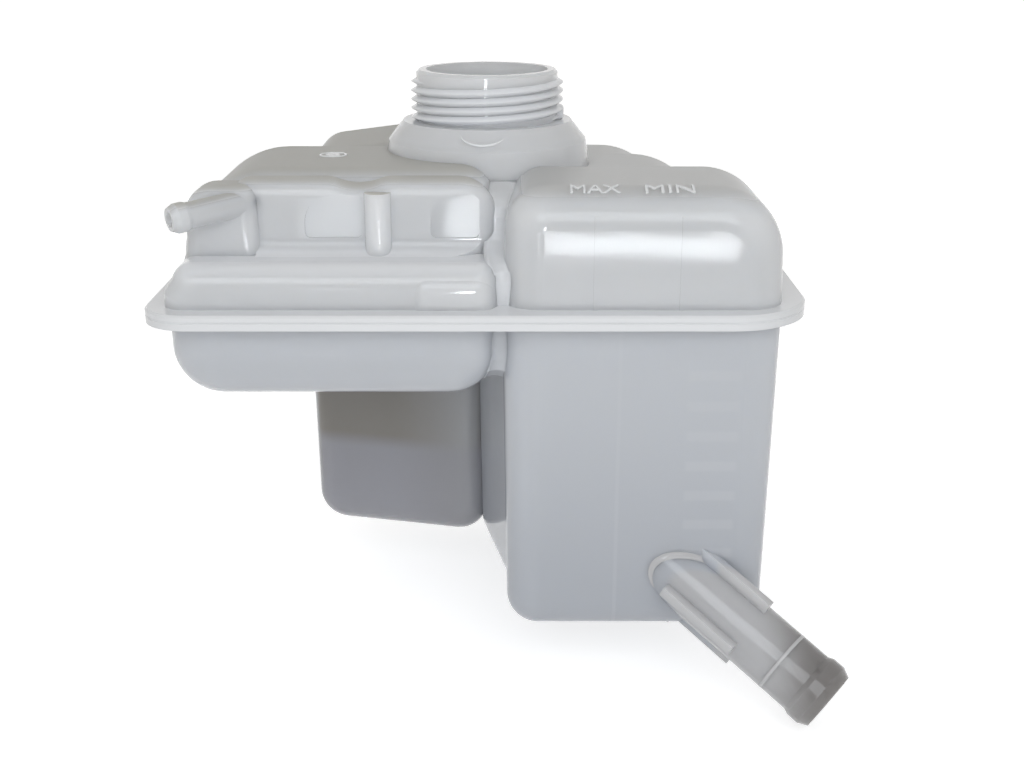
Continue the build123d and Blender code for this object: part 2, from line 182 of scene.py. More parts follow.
def milky_plastic(name, cloudy, milky):
    """Natural polypropylene: a milky colour that drifts over the surface, gloss that varies with
    the tool finish and a very slight ripple. Small pieces scatter no light below the skin; the
    shells are given their share of scatter by solid_with_painted_highlight."""
    mat = bpy.data.materials.new(name)
    mat.use_nodes = True
    tree = mat.node_tree
    shader = tree.nodes["Principled BSDF"]
    place = tree.nodes.new("ShaderNodeTexCoord").outputs["Object"]
    drift = fade_node(tree, noise_node(tree, place, DRIFT_SCALE, DRIFT_DETAIL), *DRIFT_SPAN)
    colour = tint_node(tree, drift, cloudy, milky)
    tree.links.new(colour, shader.inputs["Base Color"])
    gloss = tree.nodes.new("ShaderNodeMapRange")
    gloss.inputs["To Min"].default_value = GLOSS_LOW
    gloss.inputs["To Max"].default_value = GLOSS_HIGH
    tree.links.new(noise_node(tree, place, GLOSS_SCALE, GLOSS_DETAIL), gloss.inputs["Value"])
    tree.links.new(gloss.outputs["Result"], shader.inputs["Roughness"])
    ripple = tree.nodes.new("ShaderNodeBump")
    ripple.inputs["Strength"].default_value = RIPPLE_STRENGTH
    ripple.inputs["Distance"].default_value = RIPPLE_DEPTH
    tree.links.new(noise_node(tree, place, RIPPLE_SCALE, RIPPLE_DETAIL), ripple.inputs["Height"])
    tree.links.new(ripple.outputs["Normal"], shader.inputs["Normal"])
    shader.inputs["IOR"].default_value = PLASTIC_IOR
    shader.inputs["Transmission Weight"].default_value = SEE_THROUGH
    shader.inputs["Subsurface Radius"].default_value = SCATTER_COLOUR
    shader.inputs["Subsurface Scale"].default_value = SCATTER_DEPTH
    return mat, tree, shader, place, colour


def on_flange(tree, z):
    """1 on the flange, within its thickness of the weld, and 0 elsewhere."""
    off_weld = value_node(tree, "ABSOLUTE", value_node(tree, "SUBTRACT", z, WELD_Z))
    return fade_node(tree, off_weld, *FLANGE_OFF_WELD)


def solid_with_painted_highlight(tree, shader, share, colour):
    """Where the share is 1 no light passes below the plastic's skin, and its colour is laid over
    with the painted highlight tone, which is lighter. Elsewhere light scatters below it."""
    tree.links.new(value_node(tree, "SUBTRACT", 1.0, share), shader.inputs["Subsurface Weight"])
    tree.links.new(tint_node(tree, share, colour, PAINTED_HIGHLIGHT_TONE), shader.inputs["Base Color"])


def upper_plastic():
    """The upper shell's plastic: the tops are warmer and darker in painted shade, most of all the
    left ones, and duller; the flange and the low ledges are lighter in painted highlight."""
    mat, tree, shader, place, colour = milky_plastic("natural_polypropylene_upper", CLOUDY, MILKY)
    x, _, z = parts_node(tree, place)
    upward = fade_node(tree, facing_node(tree)["Z"], *TOPS_FACING_UP)
    high = fade_node(tree, z, *TOPS_ABOVE_Z)
    below_neck = fade_node(tree, z, *TOPS_BELOW_Z)
    to_left = value_node(tree, "MULTIPLY", fade_node(tree, x, *TOPS_LEFT_X), 1.0 - RIGHT_TOPS)
    tops = all_of(tree, upward, high, below_neck, value_node(tree, "ADD", RIGHT_TOPS, to_left))
    # Painted shade on the tops.
    colour = tint_node(tree, tops, colour, PAINTED_SHADE_TOP)
    gloss = shader.inputs["Roughness"].links[0].from_socket
    dull = value_node(tree, "MULTIPLY", tops, DULL_TOP)
    tree.links.new(value_node(tree, "MAXIMUM", gloss, dull), shader.inputs["Roughness"])
    ledges = all_of(tree, upward, value_node(tree, "SUBTRACT", 1.0, high))
    solid = value_node(tree, "MAXIMUM", ledges, on_flange(tree, z))
    # Painted highlight on the flange and the low ledges, which also get no scatter below the skin.
    solid_with_painted_highlight(tree, shader, solid, colour)
    return mat


def lower_plastic():
    """The lower shell's plastic: darker below the flange and down the deep chamber in painted
    shade, a brownish painted shadow on the rear pocket's front wall, greyer at the outlet, a
    painted highlight on the flange; the level bars and a wall inside show faintly through the
    front."""
    mat, tree, shader, place, colour = milky_plastic("natural_polypropylene_lower", CLOUDY, MILKY)
    x, y, z = parts_node(tree, place)
    # Painted shade, darker below the flange and down the deep chamber.
    colour = tint_node(tree, fade_node(tree, z, *TUB_Z), colour, TUB_PAINTED_SHADE)
    colour = tint_node(tree, fade_node(tree, z, *DEEP_Z), colour, DEEP_PAINTED_SHADE)

    # Painted shadow on the front wall of the rear pocket, lighter at its foot.
    to_front = fade_node(tree, facing_node(tree)["Y"], *POCKET_FACING_Y)
    pocket = all_of(tree, fade_node(tree, y, *POCKET_Y), fade_node(tree, x, *POCKET_X),
                    fade_node(tree, z, *POCKET_Z), to_front)
    colour = tint_node(tree, pocket, colour, POCKET_PAINTED_SHADOW)
    pocket_foot = all_of(tree, pocket, fade_node(tree, z, *POCKET_FOOT_Z))
    colour = tint_node(tree, pocket_foot, colour, POCKET_FOOT_PAINTED_SHADOW)

    in_front = fade_node(tree, y, *FRONT_WALL_Y)
    off_first = value_node(tree, "SUBTRACT", z, LEVEL_BAR_FIRST_Z)
    beat = value_node(tree, "DIVIDE", off_first, LEVEL_BAR_PITCH)
    beat = value_node(tree, "PINGPONG", beat, 0.5)
    bars = all_of(tree, fade_node(tree, beat, *LEVEL_BAR_EDGE),
                  fade_node(tree, x, *LEVEL_BARS_LEFT_X), fade_node(tree, x, *LEVEL_BARS_RIGHT_X),
                  fade_node(tree, z, *LEVEL_BARS_TOP_Z), fade_node(tree, z, *LEVEL_BARS_FOOT_Z),
                  in_front)
    off_wall = value_node(tree, "ABSOLUTE", value_node(tree, "SUBTRACT", x, INNER_WALL_X))
    line = all_of(tree, fade_node(tree, off_wall, *INNER_WALL_EDGE), in_front)
    seen = value_node(tree, "MAXIMUM", value_node(tree, "MULTIPLY", bars, LEVEL_BAR_SHOW),
                      value_node(tree, "MULTIPLY", line, INNER_WALL_SHOW))
    colour = tint_node(tree, seen, colour, LEVEL_TONE)

    spigot = all_of(tree, fade_node(tree, y, *OUTLET_Y), fade_node(tree, z, *OUTLET_Z))
    colour = tint_node(tree, spigot, colour, OUTLET_TONE)
    spigot_end = all_of(tree, spigot, fade_node(tree, x, *OUTLET_END_X))
    colour = tint_node(tree, spigot_end, colour, OUTLET_END_TONE)
    # Painted highlight on the flange, which also gets no scatter below the skin.
    solid_with_painted_highlight(tree, shader, on_flange(tree, z), colour)
    return mat


for node, plastic in (("upper_shell", upper_plastic()), ("lower_shell", lower_plastic())):
    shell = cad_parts[node]
    shell.data.materials.clear()
    shell.data.materials.append(plastic)


# Weld bead: the thread of molten plastic that the hot plate squeezes out between the two
# halves of the flange; it sets in the groove round the flange's edge, uneven all the way.
# Each wave of its unevenness has a count round the tank, a phase and a twist round the bead.
BEAD_POINTS = 1500
BEAD_SIDES = 8
BEAD_R = 0.00031
BEAD_UNEVEN = 0.00006
BEAD_WAVES = ((37, 1.3, 0.0), (91, 2.0, 1.0), (173, 0.7, -1.0), (311, 0.0, 2.0))
BEAD_OUT = 0.00002
BEAD_CLOUDY = (0.880, 0.890, 0.905, 1.0)
BEAD_MILKY = (0.950, 0.955, 0.965, 1.0)
MERGE_WITHIN = 1e-8
WELD_WITHIN = 2e-6
SAME_BORDER = 0.0015


def mesh_piece(name, points, faces, material):
    """A new piece from an array of points and lists of faces, smooth shaded and in its place."""
    mesh = bpy.data.meshes.new(name)
    mesh.from_pydata(np.asarray(points, float).reshape(-1, 3).tolist(), [], faces)
    mesh.update()
    mesh.shade_smooth()
    mesh.materials.append(material)
    piece = bpy.data.objects.new(name, mesh)
    bpy.context.scene.collection.objects.link(piece)
    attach(piece, "root")
    return piece


def carried_faces(rows, columns, closed):
    """Quads between the rows of a grid whose columns close round; the two ends are capped
    unless the path closes on itself."""
    row = np.arange(rows if closed else rows - 1)[:, None]
    column = np.arange(columns)[None, :]
    here = row * columns + column
    aside = row * columns + (column + 1) % columns
    ahead = ((row + 1) % rows) * columns + column
    across = ((row + 1) % rows) * columns + (column + 1) % columns
    faces = np.stack([here, aside, across, ahead], axis=-1).reshape(-1, 4).tolist()
    if not closed:
        faces.append(list(range(columns))[::-1])
        faces.append(list(range((rows - 1) * columns, rows * columns)))
    return faces


def outward(piece):
    """Merges the doubled points of a closed piece and turns its faces outwards."""
    work = bmesh.new()
    work.from_mesh(piece.data)
    bmesh.ops.remove_doubles(work, verts=work.verts, dist=MERGE_WITHIN)
    bmesh.ops.recalc_face_normals(work, faces=work.faces)
    work.to_mesh(piece.data)
    work.free()
    return piece


def carried_piece(name, grid, closed, material):
    """A closed piece from a grid of points: a profile in each row, carried along a path."""
    return outward(mesh_piece(name, grid, carried_faces(*grid.shape[:2], closed), material))


def weld_outline(shell):
    """The outer edge of the weld face, in order round the neck's axis. An edge of the face's
    triangles that no other triangle shares is a border; the outer border is the one that no
    other border lies outside of, seen from the axis."""
    mesh = shell.data
    mesh.calc_loop_triangles()
    corners = np.empty(3 * len(mesh.vertices))
    mesh.vertices.foreach_get("co", corners)
    triangles = np.empty(3 * len(mesh.loop_triangles), int)
    mesh.loop_triangles.foreach_get("vertices", triangles)
    triangles = corners.reshape(-1, 3)[triangles].reshape(-1, 3, 3)
    on_weld = np.all(np.abs(triangles[:, :, 2] - WELD_Z) < WELD_WITHIN, axis=1)
    flat = triangles[on_weld][:, :, :2]
    spots, index = np.unique(np.round(flat.reshape(-1, 2), 6), axis=0, return_inverse=True)
    index = index.reshape(-1, 3)
    edges = np.sort(np.concatenate([index[:, [0, 1]], index[:, [1, 2]], index[:, [2, 0]]]), axis=1)
    edges, uses = np.unique(edges, axis=0, return_counts=True)
    ends = spots[edges[uses == 1]]
    middle = ends.mean(axis=1)
    angle = np.arctan2(ends[:, :, 1], ends[:, :, 0])
    facing = np.arctan2(middle[:, 1], middle[:, 0])
    swing = np.mod(angle - facing[:, None] + np.pi, 2 * np.pi) - np.pi
    turn = np.mod(facing[:, None] - facing[None, :] + np.pi, 2 * np.pi) - np.pi
    spanned = (turn >= swing.min(axis=1)[None, :]) & (turn <= swing.max(axis=1)[None, :])
    reach = np.hypot(middle[:, 0], middle[:, 1])
    hidden = np.any(spanned & (reach[None, :] > reach[:, None] + SAME_BORDER), axis=1)
    outer = middle[~hidden]
    return outer[np.argsort(np.arctan2(outer[:, 1], outer[:, 0]))]


def even_path(path, count):
    """A closed path drawn again with points at even distances along it."""
    path = np.concatenate([path, path[:1]])
    run = np.concatenate([[0.0], np.cumsum(np.hypot(*np.diff(path, axis=0).T))])
    at = np.linspace(0.0, run[-1], count, endpoint=False)
    return np.stack([np.interp(at, run, path[:, 0]), np.interp(at, run, path[:, 1])], axis=-1)


bead_path = even_path(weld_outline(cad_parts["upper_shell"]), BEAD_POINTS)
along = np.roll(bead_path, -1, axis=0) - np.roll(bead_path, 1, axis=0)
along /= np.linalg.norm(along, axis=1)[:, None]
out = np.stack([along[:, 1], -along[:, 0]], axis=-1)
part_way = np.linspace(0.0, 2 * np.pi, BEAD_POINTS, endpoint=False)[:, None]
round_way = np.linspace(0.0, 2 * np.pi, BEAD_SIDES, endpoint=False)[None, :]
waves = [np.sin(count * part_way + phase + twist * round_way) for count, phase, twist in BEAD_WAVES]
bead_radius = BEAD_R + BEAD_UNEVEN * np.mean(waves, axis=0)
bead_out = BEAD_OUT + bead_radius * np.cos(round_way)
bead = np.stack([bead_path[:, None, 0] + out[:, None, 0] * bead_out,
                 bead_path[:, None, 1] + out[:, None, 1] * bead_out,
                 WELD_Z + bead_radius * np.sin(round_way)], axis=-1)
bead_plastic, *_ = milky_plastic("natural_polypropylene_weld", BEAD_CLOUDY, BEAD_MILKY)
carried_piece("weld_bead", bead, True, bead_plastic)


# Valley webs: the blend of plastic that closes the narrow valley between the left tiers and the
# right dome, and below the flange between the tub and the deep chamber; moulded with each shell.
# A station is a height above the weld, the centre's x and y, and the left and right turn.
WEB_COLUMNS = 15
WEB_ROWS = 91
WEB_R = 0.003
WEB_TUCK = 0.0016
WEB_BACK_Y = -0.034
UPPER_WEB = np.array([[0.0000, 0.00615, -0.07255, -58.0, 50.0],
                      [0.0098, 0.00615, -0.07255, -58.0, 50.0],
                      [0.0130, 0.00560, -0.07170, -58.0, 54.0],
                      [0.0150, 0.00460, -0.06960, -58.0, 60.0],
                      [0.0165, 0.00380, -0.06600, -55.0, 68.0],
                      [0.0180, 0.00340, -0.06180, -48.0, 78.0],
                      [0.0200, 0.00330, -0.05860, -38.0, 86.0],
                      [0.0225, 0.00330, -0.05720, -32.0, 90.0],
                      [0.0270, 0.00335, -0.05680, -32.0, 90.0],
                      [0.0300, 0.00380, -0.05520, -36.0, 90.0],
                      [0.0320, 0.00440, -0.05240, -44.0, 88.0],
                      [0.0335, 0.00500, -0.04850, -55.0, 80.0],
                      [0.0342, 0.00530, -0.04560, -60.0, 75.0],
                      [0.0352, 0.00560, -0.04000, -60.0, 75.0]])
LOWER_WEB = np.array([[-0.0260, 0.00300, -0.05600, -80.0, 80.0],
                      [-0.0240, 0.00280, -0.06200, -80.0, 88.0],
                      [-0.0200, 0.00380, -0.06840, -60.0, 67.0],
                      [-0.0160, 0.00450, -0.07000, -57.5, 60.0],
                      [-0.0120, 0.00477, -0.07060, -56.0, 58.0],
                      [0.0000, 0.00477, -0.07060, -56.0, 58.0]])
UPPER_WEB_CLOUDY = (0.790, 0.800, 0.815, 1.0)
UPPER_WEB_MILKY = (0.830, 0.840, 0.855, 1.0)
# The lower web's colours are darker copies of the plastic that carry the painted shade of the tub
# beside it.
LOWER_WEB_SHADE_CLOUDY = (0.620, 0.636, 0.664, 1.0)
LOWER_WEB_SHADE_MILKY = (0.665, 0.682, 0.712, 1.0)


def valley_web(stations):
    """A hollow strip that a ball rolled up the valley would leave: at each height above the weld a
    station gives the ball's centre in plan and the turns at which it touches the left and the right
    wall, x = centre + R sin(turn), y = centre + R cos(turn). Its two edges run on a little way into
    the walls, and a flat back inside closes it."""
    height = np.linspace(stations[0, 0], stations[-1, 0], WEB_ROWS)
    centre_x, centre_y, left, right = (
        np.interp(height, stations[:, 0], column)[:, None] for column in stations[:, 1:].T)
    turn = np.radians(left + (right - left) * np.linspace(0.0, 1.0, WEB_COLUMNS)[None, :])
    x = centre_x + WEB_R * np.sin(turn)
    y = centre_y + WEB_R * np.cos(turn)
    left_x = x[:, :1] - WEB_TUCK
    right_x = x[:, -1:] + WEB_TUCK
    x = np.concatenate([left_x, x, right_x, right_x, left_x], axis=1)
    y = np.concatenate([y[:, :1], y, y[:, -1:], np.full((WEB_ROWS, 2), WEB_BACK_Y)], axis=1)
    return np.stack([x, y, WELD_Z + height[:, None] + 0.0 * x], axis=-1)


for name, stations, cloudy, milky in (
        ("valley_web_upper", UPPER_WEB, UPPER_WEB_CLOUDY, UPPER_WEB_MILKY),
        ("valley_web_lower", LOWER_WEB, LOWER_WEB_SHADE_CLOUDY, LOWER_WEB_SHADE_MILKY)):
    web_plastic, *_ = milky_plastic("natural_polypropylene_" + name, cloudy, milky)
    carried_piece(name, valley_web(stations), False, web_plastic)


# Screw thread: the two-start thread moulded on the filler neck for the pressure cap. Its
# crests stand at the same heights on the left and the right; each start fades in and out.
THREAD_ROOT = 0.0243
THREAD_CREST = 0.02625
THREAD_BITE = 0.0004
THREAD_SINK = 0.02
THREAD_LEAD = 0.00586
THREAD_FIRST_Z = -0.0042
THREAD_FOOT_HALF = 0.00135
THREAD_PROFILE_ACROSS = np.array([-1.0, -0.55, -0.13, 0.13, 0.55, 1.0])
THREAD_PROFILE_HEIGHT = np.array([0.0, 0.45, 1.0, 1.0, 0.45, 0.0])
THREAD_TURN = 4.0 * math.pi
THREAD_RUN_IN = 0.6
THREAD_RUN_OUT = 0.5
THREAD_FADE = 0.7
THREAD_END_WIDTH = 0.25
THREAD_STEPS = 360
NECK_CLOUDY = (0.900, 0.910, 0.930, 1.0)
NECK_MILKY = (0.940, 0.950, 0.970, 1.0)


def thread_start(low_turn, high_turn, z_at_left):
    """One start of the thread: a V profile carried up a helix, radius = root + height of the V,
    z = lead times the turn; the V grows from nothing and shrinks to nothing at its two ends."""
    turn = np.linspace(low_turn, high_turn, THREAD_STEPS)
    grow = np.clip(np.minimum(turn - low_turn, high_turn - turn) / THREAD_FADE, 0.0, 1.0)[:, None]
    grow = grow * grow * (3.0 - 2.0 * grow)
    rise = THREAD_CREST - THREAD_ROOT
    radius = THREAD_ROOT - THREAD_SINK * rise + rise * grow * THREAD_PROFILE_HEIGHT
    inner = np.full((THREAD_STEPS, 2), THREAD_ROOT - THREAD_BITE)
    radius = np.concatenate([radius, inner], axis=1)
    across = np.concatenate([THREAD_PROFILE_ACROSS, [1.0, -1.0]]) * THREAD_FOOT_HALF
    turn = turn[:, None]
    z = z_at_left + THREAD_LEAD * (turn - math.pi) / (2.0 * math.pi)
    z = z + across * (THREAD_END_WIDTH + (1.0 - THREAD_END_WIDTH) * grow)
    return np.stack([radius * np.cos(turn), radius * np.sin(turn), z], axis=-1)


neck_plastic, *_ = milky_plastic("natural_polypropylene_neck", NECK_CLOUDY, NECK_MILKY)
for name, foot_turn, z_at_left in (
        ("thread_start_a", -3.0 * math.pi, THREAD_FIRST_Z),
        ("thread_start_b", -2.0 * math.pi, THREAD_FIRST_Z - THREAD_LEAD / 2.0)):
    head_turn = foot_turn + THREAD_TURN
    helix = thread_start(foot_turn - THREAD_RUN_OUT, head_turn + THREAD_RUN_IN, z_at_left)
    carried_piece(name, helix, False, neck_plastic)


# Cap stop: a short upright block moulded on the right of the neck below the thread's start,
# which the cap's own lug meets when it is screwed home.
STOP_HALF_TURN = math.radians(7.0)
STOP_LOW_Z = -0.0171
STOP_HIGH_Z = -0.0121
STOP_OUT = 0.0022
STOP_SINK = 0.0001
STOP_SQUARENESS = 6
STOP_ROWS = 25
STOP_COLUMNS = 21


def round_step(value):
    """Rises from 0 at -1 and 1 to a flat 1 in the middle, with rounded shoulders."""
    return np.clip(1.0 - np.abs(value) ** STOP_SQUARENESS, 0.0, 1.0) ** 0.5


def thick_patch_faces(rows, columns):
    """Faces of a patch with two skins: the outer grid, the inner grid and the rim between them."""
    row = np.arange(rows - 1)[:, None]
    column = np.arange(columns - 1)[None, :]
    here = row * columns + column
    top = np.stack([here, here + 1, here + columns + 1, here + columns], axis=-1).reshape(-1, 4)
    under = (top + rows * columns)[:, ::-1]
    first = np.arange(columns)
    last = (rows - 1) * columns + np.arange(columns)
    low = np.arange(rows) * columns
    high = low + columns - 1
    ring = np.concatenate([first, high[1:], last[::-1][1:], low[::-1][1:-1]])
    after = np.roll(ring, -1)
    rim = np.stack([ring, ring + rows * columns, after + rows * columns, after], axis=-1)
    return np.concatenate([top, under, rim]).tolist()


u = np.linspace(-1.0, 1.0, STOP_ROWS)[:, None]
v = np.linspace(-1.0, 1.0, STOP_COLUMNS)[None, :]
stop_turn = STOP_HALF_TURN * u + 0.0 * v
stop_z = (STOP_LOW_Z + STOP_HIGH_Z) / 2.0 + (STOP_HIGH_Z - STOP_LOW_Z) / 2.0 * v + 0.0 * u
stop_out = THREAD_ROOT - STOP_SINK + (STOP_OUT + STOP_SINK) * round_step(u) * round_step(v)
stop_in = np.full_like(stop_out, THREAD_ROOT - THREAD_BITE)
stop_radius = np.stack([stop_out, stop_in])
stop_skins = np.stack([stop_radius * np.cos(stop_turn), stop_radius * np.sin(stop_turn),
                       stop_z + 0.0 * stop_radius], axis=-1)
stop_faces = thick_patch_faces(STOP_ROWS, STOP_COLUMNS)
outward(mesh_piece("cap_stop", stop_skins, stop_faces, neck_plastic))


# Gate mark: the thin curved ridge round the pad on the front of the collar where the plastic
# entered the tool and the runner was trimmed off; it catches the light as a crescent.
GATE_CENTRE = np.array([-0.0009, -0.0298, -0.0183])
GATE_HALF_WIDTH = 0.0075
GATE_HALF_FALL = 0.0041
GATE_FROM = math.radians(8.0)
GATE_TO = math.radians(172.0)
GATE_STEPS = 72
GATE_SIDES = 10
GATE_R = 0.00050
GATE_END_R = 0.00002
GATE_COLLAR_R = 0.031
CONE_OUT = np.array([0.0, -0.785, 0.619])
CONE_DOWN = np.array([0.0, -0.619, -0.785])
CONE_ACROSS = np.array([1.0, 0.0, 0.0])

swing = np.linspace(GATE_FROM, GATE_TO, GATE_STEPS)[:, None, None]
around = np.linspace(0.0, 2 * np.pi, GATE_SIDES, endpoint=False)[None, :, None]
swell = np.sin(np.pi * (swing - GATE_FROM) / (GATE_TO - GATE_FROM)) ** 0.5
spoke = np.cos(swing) * CONE_ACROSS + np.sin(swing) * CONE_DOWN
crescent = (GATE_HALF_WIDTH * np.cos(swing) * CONE_ACROSS
            + GATE_HALF_FALL * np.sin(swing) * CONE_DOWN)
ridge = (GATE_R * swell + GATE_END_R) * (np.cos(around) * spoke + np.sin(around) * CONE_OUT)
gate = GATE_CENTRE + crescent + ridge
gate[:, :, 1] += (gate[:, :, 0] - GATE_CENTRE[0]) ** 2 / (2.0 * GATE_COLLAR_R)
carried_piece("gate_mark", gate, False, neck_plastic)


# Level words: MAX and MIN stand in low relief on the rounded front edge of the right dome,
# moulded with the shell; their tops are a little whiter where the tool was textured.
# Each word has its left and right end in x.
WORDS = (("word_max", "MAX", 0.0263, 0.0415), ("word_min", "MIN", 0.0491, 0.0643))
SHOULDER_Y = -0.0632
SHOULDER_Z = WELD_Z + 0.0272
SHOULDER_R = 0.0120
WORD_TILT = math.radians(19.0)
WORD_HEIGHT = 0.0046
WORD_RELIEF = 0.00045
WORD_BITE = 0.0003
WORD_ROWS = 8
WORD_CURVE_STEPS = 3
WORD_MERGE = 1e-5
WORD_GREY = (0.940, 0.945, 0.955, 1.0)
WORD_WHITE = (0.990, 0.990, 0.995, 1.0)
SPECK_SCALE = 900.0
SPECK_DETAIL = 2.0
SPECK_SPAN = (0.35, 0.7)


def word_plastic():
    """The shell's plastic with a chalkier, whiter and finely specked top."""
    mat, tree, shader, place, _ = milky_plastic(
        "natural_polypropylene_words", WORD_GREY, WORD_WHITE)
    speck = fade_node(tree, noise_node(tree, place, SPECK_SCALE, SPECK_DETAIL), *SPECK_SPAN)
    tree.links.new(tint_node(tree, speck, WORD_GREY, WORD_WHITE), shader.inputs["Base Color"])
    return mat


def flat_word(text):
    """A word as a flat solid mesh, cut across into rows so that it can be bent: its points run
    from 0 to 1 along and up the word and from 0 to 1 through its thickness."""
    curve = bpy.data.curves.new("word", "FONT")
    curve.body = text
    curve.extrude = 0.5
    curve.resolution_u = WORD_CURVE_STEPS
    letters = bpy.data.objects.new("word", curve)
    bpy.context.scene.collection.objects.link(letters)
    graph = bpy.context.evaluated_depsgraph_get()
    mesh = bpy.data.meshes.new_from_object(letters.evaluated_get(graph))
    bpy.data.objects.remove(letters)
    work = bmesh.new()
    work.from_mesh(mesh)
    bmesh.ops.remove_doubles(work, verts=work.verts, dist=WORD_MERGE)
    heights = [vert.co.y for vert in work.verts]
    for cut in np.linspace(min(heights), max(heights), WORD_ROWS + 1)[1:-1]:
        everything = work.verts[:] + work.edges[:] + work.faces[:]
        bmesh.ops.bisect_plane(work, geom=everything, plane_co=(0, cut, 0), plane_no=(0, 1, 0))
    bmesh.ops.triangulate(work, faces=work.faces)
    work.to_mesh(mesh)
    work.free()
    flat = np.empty(3 * len(mesh.vertices))
    mesh.vertices.foreach_get("co", flat)
    flat = flat.reshape(-1, 3)
    flat = (flat - flat.min(axis=0)) / (flat.max(axis=0) - flat.min(axis=0))
    faces = [list(face.vertices) for face in mesh.polygons]
    bpy.data.meshes.remove(mesh)
    return flat, faces


chalky = word_plastic()
for name, text, left_x, right_x in WORDS:
    flat, faces = flat_word(text)
    lean = WORD_TILT + (0.5 - flat[:, 1]) * WORD_HEIGHT / SHOULDER_R
    radius = SHOULDER_R - WORD_BITE + (WORD_RELIEF + WORD_BITE) * flat[:, 2]
    x = left_x + (right_x - left_x) * flat[:, 0]
    y = SHOULDER_Y - radius * np.sin(lean)
    z = SHOULDER_Z + radius * np.cos(lean)
    word = outward(mesh_piece(name, np.stack([x, y, z], axis=-1), faces, chalky))
    word.data.shade_flat()


# Date dial: the plain round stamp of a date insert on top of the left dome, a raised ring
# round a boss with one pointer, moulded with the shell; it carries no figures.
# Each ring has its inner radius, its outer radius and its rise.
DIAL_RINGS = (("dial_ring", 0.00390, 0.00475, 0.00030), ("dial_boss", 0.00080, 0.00260, 0.00028))
DIAL_CENTRE = np.array([-0.0520, -0.0163, WELD_Z + 0.0405])
DIAL_SIDES = 72
DIAL_BITE = 0.0003
DIAL_BEVEL = 0.5
POINTER_AT = np.array([0.0, 0.0032, 0.0])
POINTER_HALVES = (0.00030, 0.00135, 0.00030)
POINTER_ROWS = 13
POINTER_COLUMNS = 24


def stamp_ring(inner, outer, rise):
    """A flat-topped ring: a profile of a bevelled bar turned round the dial's upright axis."""
    bevel = rise * DIAL_BEVEL
    radius = np.array([inner, inner, inner + bevel, outer - bevel, outer, outer])
    height = np.array([-DIAL_BITE, rise - bevel, rise, rise, rise - bevel, -DIAL_BITE])
    around = np.linspace(0.0, 2 * np.pi, DIAL_SIDES, endpoint=False)[:, None]
    return DIAL_CENTRE + np.stack([radius * np.cos(around), radius * np.sin(around),
                                   height + 0.0 * around], axis=-1)


def egg_piece(name, centre, halves, rows, columns, material):
    """A closed egg: x, y = cos(up) times the cosine and the sine of the turn, z = sin(up), each
    times its half length; its poles come together when doubles are merged."""
    up = np.linspace(-np.pi / 2, np.pi / 2, rows)[:, None]
    around = np.linspace(0.0, 2 * np.pi, columns, endpoint=False)[None, :]
    ball = np.stack([np.cos(up) * np.cos(around), np.cos(up) * np.sin(around),
                     np.sin(up) + 0.0 * around], axis=-1)
    sides = carried_faces(rows, columns, False)[:-2]
    return outward(mesh_piece(name, centre + ball * halves, sides, material))


for name, inner, outer, rise in DIAL_RINGS:
    carried_piece(name, stamp_ring(inner, outer, rise), True, chalky)
egg_piece("dial_pointer", DIAL_CENTRE + POINTER_AT, POINTER_HALVES,
          POINTER_ROWS, POINTER_COLUMNS, chalky)


# Outlet fillet and ring: the moulded fillet where the outlet spigot leaves the front wall, along
# the upper side of the oval in which the tube meets the wall, and the tool's ring on the tube.
OUTLET_AXIS = np.array([0.72078, -0.49539, -0.48481])
OUTLET_ROOT = np.array([0.0733, -0.07386, -0.1638])
OUTLET_R = 0.0109
OUTLET_CLOUDY = (0.560, 0.555, 0.560, 1.0)
OUTLET_MILKY = (0.680, 0.676, 0.684, 1.0)
WALL_OUT = np.array([0.0, -0.99990, -0.01396])
FILLET_REACH = 0.0014
FILLET_FROM = math.radians(-140.0)
FILLET_TO = math.radians(40.0)
FILLET_STEPS = 120
FILLET_BENDS = 9
FILLET_PROUD = 0.00004
FILLET_BITE = 0.0006
RING_AT = 0.0315
RING_HALF = 0.00055
RING_RISE = 0.00008
RING_SIDES = 96
RING_PROFILE_ALONG = np.array([-1.0, -0.5, 0.5, 1.0, 1.0, -1.0])
RING_PROFILE_RISE = np.array([0.0, 1.0, 1.0, 0.0, -2.0, -2.0])

outlet_plastic, *_ = milky_plastic("natural_polypropylene_outlet", OUTLET_CLOUDY, OUTLET_MILKY)
side = np.cross(OUTLET_AXIS, WALL_OUT)
side /= np.linalg.norm(side)
back = np.cross(side, OUTLET_AXIS)
back *= -np.sign(back @ WALL_OUT)

# In each row of the fillet the foot is where the tube's side meets the wall; a curve leads from
# the wall to the tube with the foot as its middle control point, and three points inside close it.
turn = np.linspace(FILLET_FROM, FILLET_TO, FILLET_STEPS)[:, None]
spoke = np.cos(turn) * -back + np.sin(turn) * side
foot = OUTLET_ROOT + OUTLET_R * spoke
foot = foot - OUTLET_AXIS * (((foot - OUTLET_ROOT) @ WALL_OUT) / (OUTLET_AXIS @ WALL_OUT))[:, None]
away = spoke - (spoke @ WALL_OUT)[:, None] * WALL_OUT
away /= np.linalg.norm(away, axis=1)[:, None]
swell = np.sin(np.pi * (turn - FILLET_FROM) / (FILLET_TO - FILLET_FROM)) ** 0.5
on_wall = foot + FILLET_REACH * swell * away
on_tube = foot + FILLET_REACH * swell * OUTLET_AXIS
bend = np.linspace(0.0, 1.0, FILLET_BENDS)[None, :, None]
curve = ((1 - bend) ** 2 * on_wall[:, None] + 2 * bend * (1 - bend) * foot[:, None]
         + bend ** 2 * on_tube[:, None])
curve += FILLET_PROUD * (WALL_OUT * (1 - bend) + spoke[:, None] * bend)
